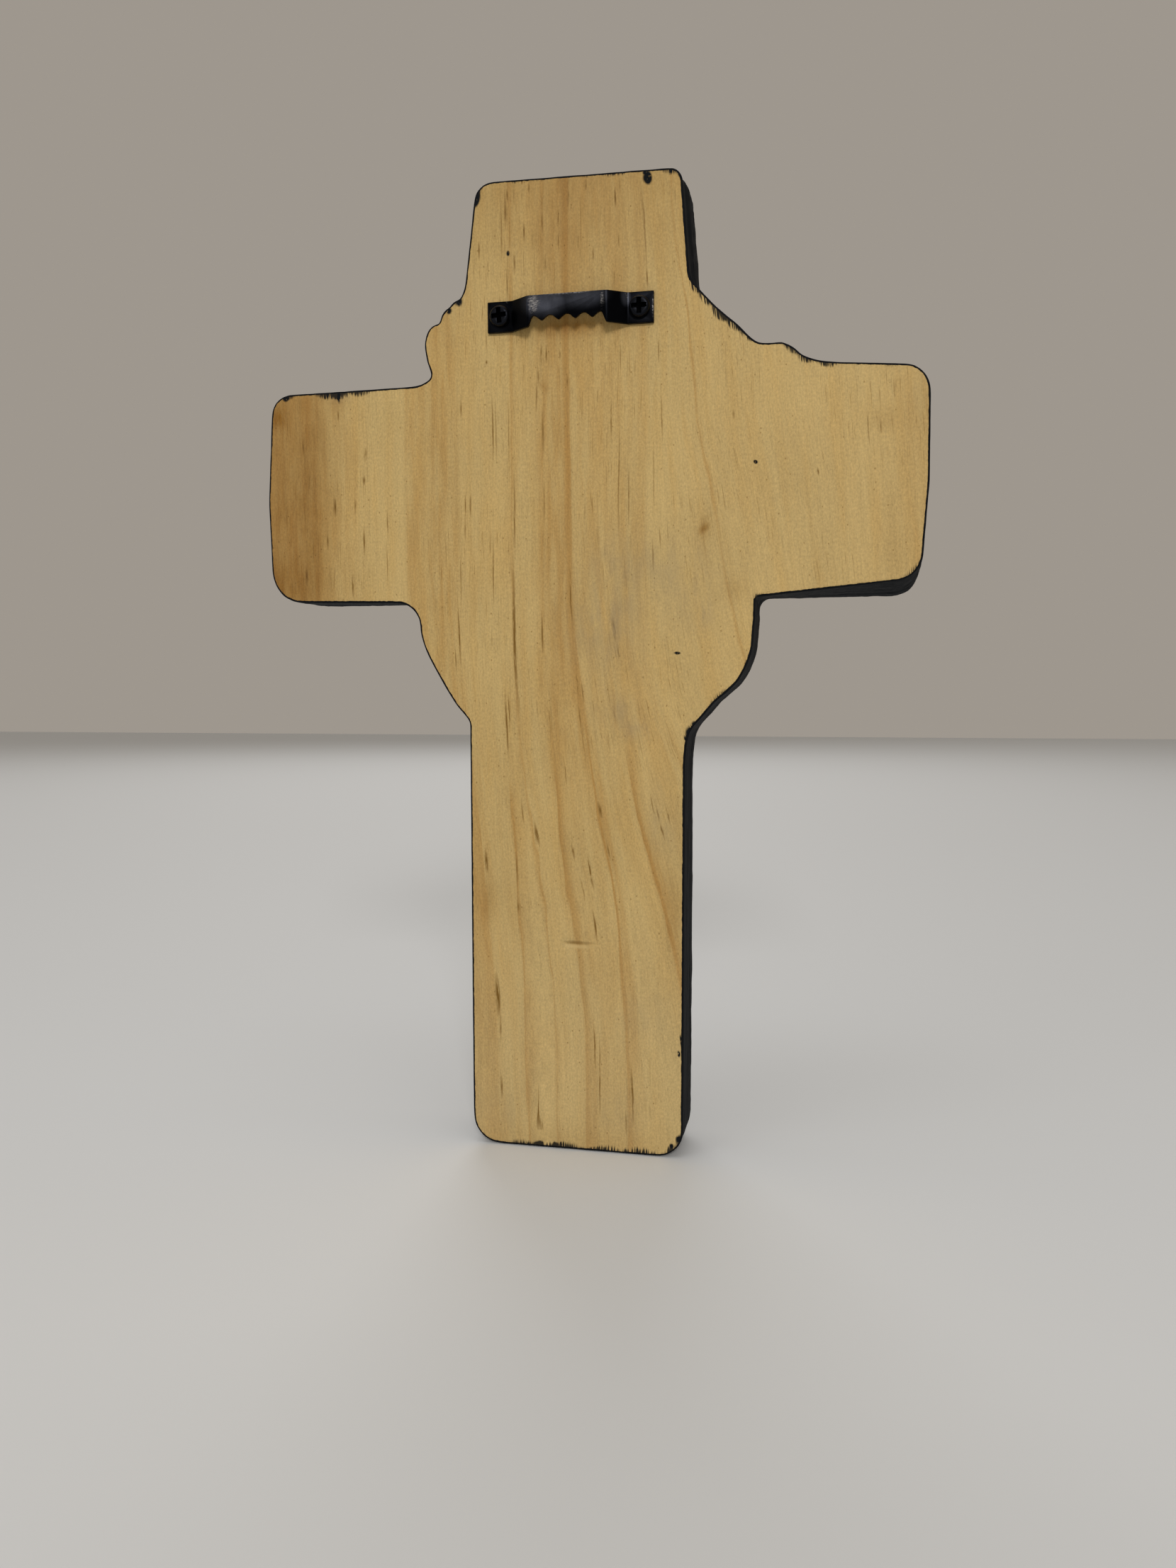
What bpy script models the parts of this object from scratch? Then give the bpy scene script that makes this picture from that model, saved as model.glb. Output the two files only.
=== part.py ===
"""A wooden wall cross with a sawtooth hanger screwed to its back.

Units are metres and +Z is up. The cross hangs with its front towards -Y and its bare back towards +Y.
The origin is where a wall nail bears: the root of the middle notch in the hanger's lower edge.
Left and right are as seen from the back, so left is +X.
"""

import math

import bmesh
import bpy
from mathutils import Vector

# The board and its back outline
BOARD_THICKNESS = 0.0220
TOP_RISE = 0.0370  # from the nail up to the top end
TOP_END_FALL = 0.0009  # how far the top end drops towards the right
CROSSBAR_TOP_DROP = 0.0155  # from the nail down to the crossbar's top edge
CROSSBAR_HEIGHT = 0.0587
LOWER_ARM_LENGTH = 0.1524
UPRIGHT_SHIFT = -0.0010  # the upright's middle, measured from the nail
LOWER_ARM_WIDTH = 0.0600
TOP_ARM_WIDTH = 0.0613  # at the crossbar
TOP_LEFT_TAPER = 0.0038  # what each side of the top arm loses by its end
TOP_RIGHT_TAPER = 0.0022
LEFT_ARM_REACH = 0.0881  # from the nail to the middle of the arm's end
LEFT_END_UPPER_LEAN = 0.0018  # how far each corner of an end stands back from its middle
LEFT_END_LOWER_LEAN = 0.0008
LEFT_UNDERSIDE_RISE = 0.0009  # what the lower edge rises on its way out
RIGHT_ARM_REACH = 0.0928
RIGHT_END_UPPER_LEAN = 0.0003
RIGHT_END_LOWER_LEAN = 0.0016
RIGHT_TOP_FALL = 0.0016  # what the right arm's top edge drops on its way out
RIGHT_UNDERSIDE_RISE = 0.0042  # on the back alone
FRONT_UNDERSIDE_LIFT = 0.0009  # how far both lower edges lie higher on the front than on the back

TOP_LEFT_RADIUS = 0.0050
TOP_RIGHT_RADIUS = 0.0033
FOOT_LEFT_RADIUS = 0.0078
FOOT_RIGHT_RADIUS = 0.0070
LEFT_END_UPPER_RADIUS = 0.0058
LEFT_END_LOWER_RADIUS = 0.0090
RIGHT_END_UPPER_RADIUS = 0.0068
RIGHT_END_LOWER_RADIUS = 0.0068
LEFT_ARMPIT_RADIUS = 0.0065
RIGHT_ARMPIT_RADIUS = 0.0006  # on the back
RIGHT_ARMPIT_FRONT_RADIUS = 0.0030
CORNER_STEPS = 5
LONGEST_FLAT = 0.0060

# The lobes round the crossing are free forms. Each knot is (outwards, upwards) from the corner where the
# edges of the upright and the crossbar would meet.
LUMPY_LOBE = [
    (-0.0005, 0.0265),
    (0.0000, 0.0246),
    (0.0011, 0.0227),
    (0.0027, 0.0221),
    (0.0041, 0.0207),
    (0.0052, 0.0200),
    (0.0063, 0.0186),
    (0.0070, 0.0167),
    (0.0087, 0.0162),
    (0.0103, 0.0147),
    (0.0113, 0.0112),
    (0.0106, 0.0066),
    (0.0095, 0.0034),
    (0.0103, 0.0017),
    (0.0136, 0.0003),
]
SLOPING_SHOULDER = [
    (0.0001, 0.0236),
    (0.0071, 0.0159),
    (0.0124, 0.0114),
    (0.0161, 0.0075),
    (0.0190, 0.0060),
    (0.0237, 0.0061),
    (0.0271, 0.0044),
    (0.0290, 0.0026),
    (0.0336, 0.0008),
    (0.0408, 0.0000),
]
LEFT_BULGE = [
    (0.0142, -0.0075),
    (0.0134, -0.0109),
    (0.0114, -0.0156),
    (0.0062, -0.0247),
    (0.0034, -0.0288),
    (0.0003, -0.0324),
    (0.0000, -0.0348),
]
RIGHT_BULGE = [
    (0.0184, -0.0048),
    (0.0180, -0.0097),
    (0.0173, -0.0153),
    (0.0137, -0.0224),
    (0.0081, -0.0272),
    (0.0045, -0.0315),
    (0.0018, -0.0345),
    (0.0005, -0.0385),
    (0.0001, -0.0442),
]
LOBE_STEPS = 2  # flats between two knots

# The front: rounded edges, and a plain raised crest that fills the lobes
FRONT_ROUNDING = 0.0040
ROUNDING_STEPS = 3
ROUNDING_SHARE_OF_LUMP = 0.6  # the rounding stays inside a lump that is smaller than it
CREST_RISE = 0.0025
CREST_ROUNDING = 0.0018
CREST_DEPTH_IN_BOARD = 0.0030
CREST_STEPS = 4
# Knots of the crest's edge, anticlockwise as seen from the front, from the same four corners as the lobes.
CREST_UPPER_RIGHT = [
    (-0.0120, 0.0270),
    (-0.0030, 0.0185),
    (0.0080, 0.0080),
    (0.0180, 0.0003),
    (0.0255, -0.0040),
    (0.0300, -0.0180),
]
CREST_LOWER_RIGHT = [
    (0.0250, 0.0170),
    (0.0150, 0.0050),
    (0.0123, -0.0050),
    (0.0112, -0.0140),
    (0.0065, -0.0210),
    (-0.0015, -0.0290),
    (-0.0140, -0.0375),
]
CREST_LOWER_LEFT = [
    (-0.0150, -0.0365),
    (-0.0035, -0.0275),
    (0.0030, -0.0180),
    (0.0068, -0.0100),
    (0.0105, 0.0020),
    (0.0180, 0.0150),
]
CREST_UPPER_LEFT = [
    (0.0190, -0.0200),
    (0.0130, -0.0085),
    (0.0050, -0.0010),
    (0.0052, 0.0070),
    (0.0040, 0.0120),
    (-0.0020, 0.0175),
    (-0.0120, 0.0260),
]

# The hanger, one bent strip
STRIP_WIDTH = 0.0080
STRIP_THICKNESS = 0.0009
RAMP_RUN = 0.0050  # how much of the strip's length each ramp takes
BRIDGE_LENGTH = 0.0211
BRIDGE_HEIGHT = 0.0045  # from the board's back to the bridge's outer face
BEND_RADIUS = 0.0009  # inside each bend
BEND_STEPS = 4
NOTCH_COUNT = 5
OUTER_NOTCH_INSET = 0.00145  # from the bridge's end to the outer notch's root
NOTCH_DEPTH = 0.00135
NOTCH_STEPS = 10
TOOTH_SHARPNESS = 1.4  # 1 gives a sharp tooth, 2 a wave
TAB_BELOW_NAIL = 0.00275  # from the nail down to the tabs' lower edge
SHOULDER_RUN = 0.0016  # from the outer notch's root out to the full width

# The screws
SCREW_INSET = 0.0036  # from the strip's end
HEAD_TO_RAMP = 0.0006  # from a screw's head to the ramp
HEAD_DIAMETER = 0.0055
HEAD_HEIGHT = 0.0016
HEAD_CROWN = 0.0009  # how much of the head's height is its rounded crown
SHANK_DIAMETER = 0.0026
SHANK_LENGTH = 0.0120
POINT_LENGTH = 0.0030
RECESS_SPAN = 0.0035
RECESS_SLOT = 0.0011
RECESS_DEPTH = 0.0010
RECESS_NARROWING = 0.0003  # what each side of the recess loses by its floor
LEFT_SCREW_TURN = math.radians(5.5)
RIGHT_SCREW_TURN = math.radians(1.0)
ROUND_SIDES = 24

# Fits
TOUCH_GAP = 0.0003  # between pieces that lie on each other
HOLE_CLEARANCE = 0.0003  # round a shank, in the strip and in the board
CUTTER_OVERRUN = 0.0010  # how far a cutter runs past a face

# Worked out from the above
BACK_Y = STRIP_THICKNESS / 2 - BRIDGE_HEIGHT
FRONT_Y = BACK_Y - BOARD_THICKNESS
CROSSBAR_TOP_Z = -CROSSBAR_TOP_DROP
CROSSBAR_LOW_Z = CROSSBAR_TOP_Z - CROSSBAR_HEIGHT
FOOT_Z = CROSSBAR_LOW_Z - LOWER_ARM_LENGTH
STRIP_TOP_Z = STRIP_WIDTH - TAB_BELOW_NAIL
TAB_MIDDLE_Y = BACK_Y + TOUCH_GAP + STRIP_THICKNESS / 2
HEAD_SEAT_Y = BACK_Y + TOUCH_GAP + STRIP_THICKNESS + TOUCH_GAP
TAB_LENGTH = SCREW_INSET + HEAD_DIAMETER / 2 + HEAD_TO_RAMP
STRIP_LENGTH = BRIDGE_LENGTH + 2 * (RAMP_RUN + TAB_LENGTH)
OUTER_ROOT_X = BRIDGE_LENGTH / 2 - OUTER_NOTCH_INSET
NOTCH_PITCH = 2 * OUTER_ROOT_X / (NOTCH_COUNT - 1)
SCREW_X = STRIP_LENGTH / 2 - SCREW_INSET
SCREW_Z = STRIP_WIDTH / 2 - TAB_BELOW_NAIL
HOLE_RADIUS = SHANK_DIAMETER / 2 + HOLE_CLEARANCE
TOP_ARM_LEFT_X = UPRIGHT_SHIFT + TOP_ARM_WIDTH / 2
TOP_ARM_RIGHT_X = UPRIGHT_SHIFT - TOP_ARM_WIDTH / 2
LOWER_ARM_LEFT_X = UPRIGHT_SHIFT + LOWER_ARM_WIDTH / 2
LOWER_ARM_RIGHT_X = UPRIGHT_SHIFT - LOWER_ARM_WIDTH / 2
UPPER_LEFT = Vector((TOP_ARM_LEFT_X, CROSSBAR_TOP_Z))
UPPER_RIGHT = Vector((TOP_ARM_RIGHT_X, CROSSBAR_TOP_Z))
LOWER_LEFT = Vector((LOWER_ARM_LEFT_X, CROSSBAR_LOW_Z))
LOWER_RIGHT = Vector((LOWER_ARM_RIGHT_X, CROSSBAR_LOW_Z))


def clear_scene():
    for thing in list(bpy.data.objects):
        bpy.data.objects.remove(thing, do_unlink=True)


def finish_material(name, colour, roughness, metallic=0.0):
    material = bpy.data.materials.new(name)
    material.use_nodes = True
    shader = material.node_tree.nodes["Principled BSDF"]
    shader.inputs["Base Color"].default_value = (*colour, 1.0)
    shader.inputs["Roughness"].default_value = roughness
    shader.inputs["Metallic"].default_value = metallic
    return material


def object_from(bm, name, material=None):
    """Turns a closed bmesh into an object whose faces point outwards."""
    bmesh.ops.recalc_face_normals(bm, faces=bm.faces)
    mesh = bpy.data.meshes.new(name)
    bm.to_mesh(mesh)
    bm.free()
    thing = bpy.data.objects.new(name, mesh)
    bpy.context.scene.collection.objects.link(thing)
    if material:
        mesh.materials.append(material)
    return thing


def helper_from(bm, name):
    thing = object_from(bm, name)
    thing.hide_render = True
    thing.display_type = "WIRE"
    return thing


def add_boolean(thing, other, operation):
    modifier = thing.modifiers.new(other.name, "BOOLEAN")
    modifier.object = other
    modifier.operation = operation
    modifier.solver = "EXACT"


def shade_smooth(thing, sharp_degrees=35):
    thing.data.shade_smooth()
    thing.data.set_sharp_from_angle(angle=math.radians(sharp_degrees))


def join_rings(bm, ring, next_ring):
    for i in range(len(ring)):
        j = (i + 1) % len(ring)
        bm.faces.new((ring[i], ring[j], next_ring[j], next_ring[i]))


def loft(rings):
    """A closed solid through rings of as many points each, capped at both ends."""
    bm = bmesh.new()
    placed = [[bm.verts.new(point) for point in ring] for ring in rings]
    for ring, next_ring in zip(placed, placed[1:]):
        join_rings(bm, ring, next_ring)
    bm.faces.new(placed[0])
    bm.faces.new(placed[-1])
    return bm


def turned(profile, x, z):
    """A closed solid turned about an axis along Y. The profile is (radius, y) from one end to the other."""
    rings = []
    for radius, y in profile:
        ring = []
        for side in range(ROUND_SIDES):
            angle = math.tau * side / ROUND_SIDES
            ring.append((x + radius * math.cos(angle), y, z + radius * math.sin(angle)))
        rings.append(ring)
    return loft(rings)


def rounded_corner(before, corner, after, radius):
    """The arc that rounds a corner. It is held to nine tenths of the shorter side."""
    to_before = before - corner
    to_after = after - corner
    half_angle = to_before.angle(to_after) / 2
    reach = min(radius / math.tan(half_angle), 0.9 * min(to_before.length, to_after.length))
    radius = reach * math.tan(half_angle)
    bisector = to_before.normalized() + to_after.normalized()
    centre = corner + bisector.normalized() * radius / math.sin(half_angle)
    start = corner + to_before.normalized() * reach - centre
    end = corner + to_after.normalized() * reach - centre
    turn = start.angle(end)
    points = []
    for step in range(CORNER_STEPS + 1):
        share = step / CORNER_STEPS
        blend = start * math.sin((1 - share) * turn) + end * math.sin(share * turn)
        points.append(centre + blend / math.sin(turn))
    return points


def curve_between(p0, p1, p2, p3, steps):
    """Points of a Catmull-Rom curve after p1, up to and including p2."""
    points = []
    for step in range(1, steps + 1):
        t = step / steps
        linear = (p2 - p0) * t
        square = (p0 * 2 - p1 * 5 + p2 * 4 - p3) * t**2
        cube = (p1 * 3 - p0 - p2 * 3 + p3) * t**3
        points.append((p1 * 2 + linear + square + cube) / 2)
    return points


def open_curve(knots, steps):
    padded = [knots[0] * 2 - knots[1], *knots, knots[-1] * 2 - knots[-2]]
    points = [knots[0]]
    for k in range(len(knots) - 1):
        points += curve_between(*padded[k : k + 4], steps)
    return points


def closed_curve(knots, steps):
    points = []
    for k in range(len(knots)):
        around = [knots[(k + step) % len(knots)] for step in (-1, 0, 1, 2)]
        points += curve_between(*around, steps)
    return points


def knots_from(corner, steps, outwards):
    """Knots placed from a corner of the crossing. `outwards` is 1 on the left and -1 on the right."""
    return [corner + Vector((outwards * out, up)) for out, up in steps]


def flat_parts(points):
    """How many parts each flat of an outline takes so that none is longer than LONGEST_FLAT."""
    following = points[1:] + points[:1]
    return [max(1, math.ceil((b - a).length / LONGEST_FLAT)) for a, b in zip(points, following)]


def split_flats(points, parts):
    split = []
    for point, after, count in zip(points, points[1:] + points[:1], parts):
        split += [point.lerp(after, part / count) for part in range(count)]
    return split


def board_outline(underside_lift, left_rise, right_rise, right_armpit_radius):
    """The board's outline, from the top end's left corner over the right arm and the foot to the left arm."""
    shoulder = open_curve(knots_from(UPPER_RIGHT, SLOPING_SHOULDER, -1), LOBE_STEPS)
    right_bulge = open_curve(knots_from(LOWER_RIGHT, RIGHT_BULGE, -1), LOBE_STEPS)
    left_bulge = open_curve(knots_from(LOWER_LEFT, LEFT_BULGE, 1), LOBE_STEPS)[::-1]
    lumps = open_curve(knots_from(UPPER_LEFT, LUMPY_LOBE, 1), LOBE_STEPS)[::-1]

    underside_z = CROSSBAR_LOW_Z + underside_lift
    end_middle_z = (CROSSBAR_TOP_Z + CROSSBAR_LOW_Z) / 2
    top_left = Vector((TOP_ARM_LEFT_X - TOP_LEFT_TAPER, TOP_RISE))
    top_right = Vector((TOP_ARM_RIGHT_X + TOP_RIGHT_TAPER, TOP_RISE - TOP_END_FALL))
    right_upper = Vector((-RIGHT_ARM_REACH + RIGHT_END_UPPER_LEAN, CROSSBAR_TOP_Z - RIGHT_TOP_FALL))
    right_end_middle = Vector((-RIGHT_ARM_REACH, end_middle_z))
    right_lower = Vector((-RIGHT_ARM_REACH + RIGHT_END_LOWER_LEAN, underside_z + right_rise))
    right_armpit = Vector((right_bulge[0].x, underside_z))
    foot_right = Vector((LOWER_ARM_RIGHT_X, FOOT_Z))
    foot_left = Vector((LOWER_ARM_LEFT_X, FOOT_Z))
    left_armpit = Vector((left_bulge[-1].x, underside_z))
    left_lower = Vector((LEFT_ARM_REACH - LEFT_END_LOWER_LEAN, underside_z + left_rise))
    left_end_middle = Vector((LEFT_ARM_REACH, end_middle_z))
    left_upper = Vector((LEFT_ARM_REACH - LEFT_END_UPPER_LEAN, CROSSBAR_TOP_Z))
    right_underside_middle = right_lower.lerp(right_armpit, 0.5)
    left_underside_middle = left_lower.lerp(left_armpit, 0.5)

    outline = []
    outline += rounded_corner(lumps[-1], top_left, top_right, TOP_LEFT_RADIUS)
    outline += rounded_corner(top_left, top_right, shoulder[0], TOP_RIGHT_RADIUS)
    outline += shoulder
    outline += rounded_corner(shoulder[-1], right_upper, right_end_middle, RIGHT_END_UPPER_RADIUS)
    outline.append(right_end_middle)
    outline += rounded_corner(right_end_middle, right_lower, right_underside_middle, RIGHT_END_LOWER_RADIUS)
    outline += rounded_corner(right_underside_middle, right_armpit, right_bulge[0], right_armpit_radius)
    outline += right_bulge
    outline += rounded_corner(right_bulge[-1], foot_right, foot_left, FOOT_RIGHT_RADIUS)
    outline += rounded_corner(foot_right, foot_left, left_bulge[0], FOOT_LEFT_RADIUS)
    outline += left_bulge
    outline += rounded_corner(left_bulge[-1], left_armpit, left_underside_middle, LEFT_ARMPIT_RADIUS)
    outline += rounded_corner(left_underside_middle, left_lower, left_end_middle, LEFT_END_LOWER_RADIUS)
    outline.append(left_end_middle)
    outline += rounded_corner(left_end_middle, left_upper, lumps[0], LEFT_END_UPPER_RADIUS)
    outline += lumps
    return outline


def inward_normals(points):
    """Unit normals that point into an outline which runs anticlockwise as seen from the front."""
    normals = []
    for i, point in enumerate(points):
        along = points[(i + 1) % len(points)] - points[i - 1]
        normals.append(Vector((-along.y, along.x)).normalized())
    return normals


def rounding_room(points, normals, widest):
    """How far each point may move inwards: `widest`, or less on a lump too small for that."""
    room = []
    for i, point in enumerate(points):
        most = widest
        for other in points:
            apart = other - point
            depth = apart.dot(normals[i])
            if depth > 0:
                most = min(most, ROUNDING_SHARE_OF_LUMP * apart.length_squared / (2 * depth))
        room.append(most)
    for _ in range(2):
        evened = [(room[i - 1] + room[i] + room[(i + 1) % len(room)]) / 3 for i in range(len(room))]
        room = [min(pair) for pair in zip(room, evened)]
    return room


def rounded_front(points, edge_y, widest, steps):
    """Rings that carry an outline round to a face `widest` in front of `edge_y`."""
    normals = inward_normals(points)
    room = rounding_room(points, normals, widest)
    rings = []
    for step in range(steps + 1):
        angle = math.pi / 2 * step / steps
        y = edge_y - widest * math.sin(angle)
        ring = []
        for point, normal, most in zip(points, normals, room):
            moved = point + normal * most * (1 - math.cos(angle))
            ring.append((moved.x, y, moved.y))
        rings.append(ring)
    return rings


def build_crest():
    """The raised field over the crossing, as a helper that is joined to the board."""
    knots = []
    knots += knots_from(UPPER_RIGHT, CREST_UPPER_RIGHT, -1)
    knots += knots_from(LOWER_RIGHT, CREST_LOWER_RIGHT, -1)
    knots += knots_from(LOWER_LEFT, CREST_LOWER_LEFT, 1)
    knots += knots_from(UPPER_LEFT, CREST_UPPER_LEFT, 1)
    edge = closed_curve(knots, CREST_STEPS)
    foot = [(point.x, FRONT_Y + CREST_DEPTH_IN_BOARD, point.y) for point in edge]
    rings = rounded_front(edge, FRONT_Y - CREST_RISE + CREST_ROUNDING, CREST_ROUNDING, ROUNDING_STEPS)
    return helper_from(loft([foot, *rings]), "crest")


def build_board(material):
    back = board_outline(0, LEFT_UNDERSIDE_RISE, RIGHT_UNDERSIDE_RISE, RIGHT_ARMPIT_RADIUS)
    front = board_outline(FRONT_UNDERSIDE_LIFT, 0, 0, RIGHT_ARMPIT_FRONT_RADIUS)
    parts = flat_parts(back)
    back = split_flats(back, parts)
    front = split_flats(front, parts)
    back_ring = [(point.x, BACK_Y, point.y) for point in back]
    front_rings = rounded_front(front, FRONT_Y + FRONT_ROUNDING, FRONT_ROUNDING, ROUNDING_STEPS)
    board = object_from(loft([back_ring, *front_rings]), "cross_board", material)
    add_boolean(board, build_crest(), "UNION")
    hole_end_y = HEAD_SEAT_Y - SHANK_LENGTH - HOLE_CLEARANCE
    for name, x in (("left", SCREW_X), ("right", -SCREW_X)):
        profile = [(HOLE_RADIUS, hole_end_y), (HOLE_RADIUS, BACK_Y + CUTTER_OVERRUN)]
        drill = helper_from(turned(profile, x, SCREW_Z), "pilot_hole_" + name)
        add_boolean(board, drill, "DIFFERENCE")
    shade_smooth(board)


def strip_lower_edge(x):
    """The height of the strip's lower edge: notches along the bridge, full width beyond them."""
    beyond = abs(x) - OUTER_ROOT_X
    if beyond > 0:
        share = min(beyond / SHOULDER_RUN, 1)
        return -TAB_BELOW_NAIL * (1 - math.cos(math.pi * share)) / 2
    phase = math.pi * beyond / NOTCH_PITCH
    return -NOTCH_DEPTH * (1 - abs(math.cos(phase)) ** TOOTH_SHARPNESS)


def half_strip_path():
    """(x, y, slope) along the middle of the strip's thickness, from its middle to its left end."""
    drop = -TAB_MIDDLE_Y
    slope = math.atan2(drop, RAMP_RUN)
    radius = BEND_RADIUS + STRIP_THICKNESS / 2
    bend_start = BRIDGE_LENGTH / 2 - radius * math.tan(slope / 2)
    bend_end = BRIDGE_LENGTH / 2 + RAMP_RUN + radius * math.tan(slope / 2)

    step_length = NOTCH_PITCH / NOTCH_STEPS
    path = [(step * step_length, 0, 0) for step in range(math.ceil(bend_start / step_length))]
    for step in range(BEND_STEPS + 1):
        angle = slope * step / BEND_STEPS
        path.append((bend_start + radius * math.sin(angle), -radius * (1 - math.cos(angle)), angle))
    for step in range(BEND_STEPS, -1, -1):
        angle = slope * step / BEND_STEPS
        path.append((bend_end - radius * math.sin(angle), radius * (1 - math.cos(angle)) - drop, angle))
    path.append((STRIP_LENGTH / 2, -drop, 0))
    return path


def build_hanger(material):
    half = half_strip_path()
    stations = [(-x, y, -slope) for x, y, slope in half[:0:-1]] + half
    rings = []
    for x, y, slope in stations:
        across_x = STRIP_THICKNESS / 2 * math.sin(slope)
        across_y = STRIP_THICKNESS / 2 * math.cos(slope)
        low = strip_lower_edge(x)
        rings.append(
            [
                (x - across_x, y - across_y, low),
                (x + across_x, y + across_y, low),
                (x + across_x, y + across_y, STRIP_TOP_Z),
                (x - across_x, y - across_y, STRIP_TOP_Z),
            ]
        )
    hanger = object_from(loft(rings), "sawtooth_hanger", material)
    for name, x in (("left", SCREW_X), ("right", -SCREW_X)):
        profile = [(HOLE_RADIUS, BACK_Y), (HOLE_RADIUS, HEAD_SEAT_Y + CUTTER_OVERRUN)]
        punch = helper_from(turned(profile, x, SCREW_Z), "strip_hole_" + name)
        add_boolean(hanger, punch, "DIFFERENCE")
    shade_smooth(hanger)


def recess_ring(x, y, half_span, half_slot, turn):
    """The twelve corners of the cross-shaped recess at one depth."""
    quarter = [(half_slot, half_slot), (half_slot, half_span), (-half_slot, half_span)]
    ring = []
    for quarter_turn in range(4):
        angle = turn + quarter_turn * math.pi / 2
        for across, up in quarter:
            ring_x = across * math.cos(angle) - up * math.sin(angle)
            ring_z = across * math.sin(angle) + up * math.cos(angle)
            ring.append((x + ring_x, y, SCREW_Z + ring_z))
    return ring


def build_screw(side, x, turn, material):
    tip_y = HEAD_SEAT_Y - SHANK_LENGTH
    top_y = HEAD_SEAT_Y + HEAD_HEIGHT
    crown_y = top_y - HEAD_CROWN
    shank_radius = SHANK_DIAMETER / 2
    head_radius = HEAD_DIAMETER / 2
    profile = [
        (shank_radius / 8, tip_y),
        (shank_radius, tip_y + POINT_LENGTH),
        (shank_radius, HEAD_SEAT_Y),
        (head_radius, HEAD_SEAT_Y),
    ]
    for step in range(6):
        angle = math.pi / 2 * step / 6
        profile.append((head_radius * math.cos(angle) ** 0.7, crown_y + HEAD_CROWN * math.sin(angle)))
    screw = object_from(turned(profile, x, SCREW_Z), "hanger_screw_" + side, material)

    floor_y = top_y - RECESS_DEPTH
    half_span = RECESS_SPAN / 2
    half_slot = RECESS_SLOT / 2
    floor = recess_ring(x, floor_y, half_span - RECESS_NARROWING, half_slot - RECESS_NARROWING / 2, turn)
    mouth = recess_ring(x, top_y + CUTTER_OVERRUN, half_span, half_slot, turn)
    add_boolean(screw, helper_from(loft([floor, mouth]), "recess_" + side), "DIFFERENCE")
    shade_smooth(screw)


def main():
    clear_scene()
    painted_pine = finish_material("painted_pine", (0.42, 0.28, 0.12), 0.6)
    black_steel = finish_material("black_steel", (0.012, 0.013, 0.015), 0.35, 0.9)
    build_board(painted_pine)
    build_hanger(black_steel)
    build_screw("left", SCREW_X, LEFT_SCREW_TURN, black_steel)
    build_screw("right", -SCREW_X, RIGHT_SCREW_TURN, black_steel)


main()
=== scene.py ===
"""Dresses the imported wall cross: bare pine and black paint on the board, worn black steel on its hanger.

Places on the bare back are in millimetres, as seen from behind: across to the right of the hanging nail,
and up from it. Everything else is in metres, as in the frame.
"""

import math

import bmesh
import bpy
import numpy as np
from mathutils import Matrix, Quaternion, Vector, noise


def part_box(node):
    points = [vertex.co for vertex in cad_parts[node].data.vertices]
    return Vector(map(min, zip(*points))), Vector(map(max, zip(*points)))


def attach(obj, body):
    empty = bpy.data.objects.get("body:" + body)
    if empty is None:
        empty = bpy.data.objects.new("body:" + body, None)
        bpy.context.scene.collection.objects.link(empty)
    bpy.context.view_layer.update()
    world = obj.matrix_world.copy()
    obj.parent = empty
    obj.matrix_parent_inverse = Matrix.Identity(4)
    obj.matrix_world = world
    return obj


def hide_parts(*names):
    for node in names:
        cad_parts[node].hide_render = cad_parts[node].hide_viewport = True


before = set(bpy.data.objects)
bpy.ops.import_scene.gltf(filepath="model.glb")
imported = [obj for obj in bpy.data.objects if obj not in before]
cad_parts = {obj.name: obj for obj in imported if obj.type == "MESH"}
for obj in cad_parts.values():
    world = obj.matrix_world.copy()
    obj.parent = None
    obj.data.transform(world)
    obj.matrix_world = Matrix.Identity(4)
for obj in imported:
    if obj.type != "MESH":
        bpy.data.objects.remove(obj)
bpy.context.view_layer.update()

MM = 0.001
BOARD_LOW, BOARD_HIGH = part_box("cross_board")
STRIP_LOW, STRIP_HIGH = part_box("sawtooth_hanger")
SCREW_BOXES = {side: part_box("hanger_screw_" + side) for side in ("left", "right")}
BACK_Y = BOARD_HIGH.y
FOOT_Z = BOARD_LOW.z

# The board's mesh
HAIR = 0.00001  # nearer than this, two points are one
FLAT_REACH = 0.0001  # how far from a flat face a point still counts as on it
EDGE_SOFTNESS = 0.00035  # the rounding of the sawn back edge
BORDER_RINGS = [0.0004, 0.0006]  # insets that keep the painted line crisp
GRID_PITCH = 0.0078  # between the cuts across the whole board
WALL_ROWS = [0.0025, 0.0056, 0.0090, 0.0128, 0.0160]  # depths below the back
SLIVER = 0.00012  # corners nearer than this are merged after the cuts
MANY_CORNERS = 100  # only the one face of the whole back has more
BOARD_LEVELS = 2
PILOT_REACH = 0.0020  # the pilot holes lie within this of a screw's axis
OUTLINE_DEPTH = 0.0015  # the painted line is measured from the outline this far below the back

# The relief of the painted edges: heights, and depths below the back
WALL_TOP = (0.0050, 0.0068)  # above it the paint is smoother
HAMMERED_HEIGHT = 0.00022
BRUSHED_HEIGHT = 0.00012
LEDGE = (0.0056, 0.0007, 0.00016)  # (depth, half width, height), round the top arm
GROOVE = (0.0128, 0.0006, -0.00022)  # the same, on the rest
TOP_ARM_STARTS = (-0.004, 0.010)
SWELLING = 0.0007  # how far the front half of the top arm stands out on the right
BACK_WAVES = 0.00006  # the planed back's faint waves

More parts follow.
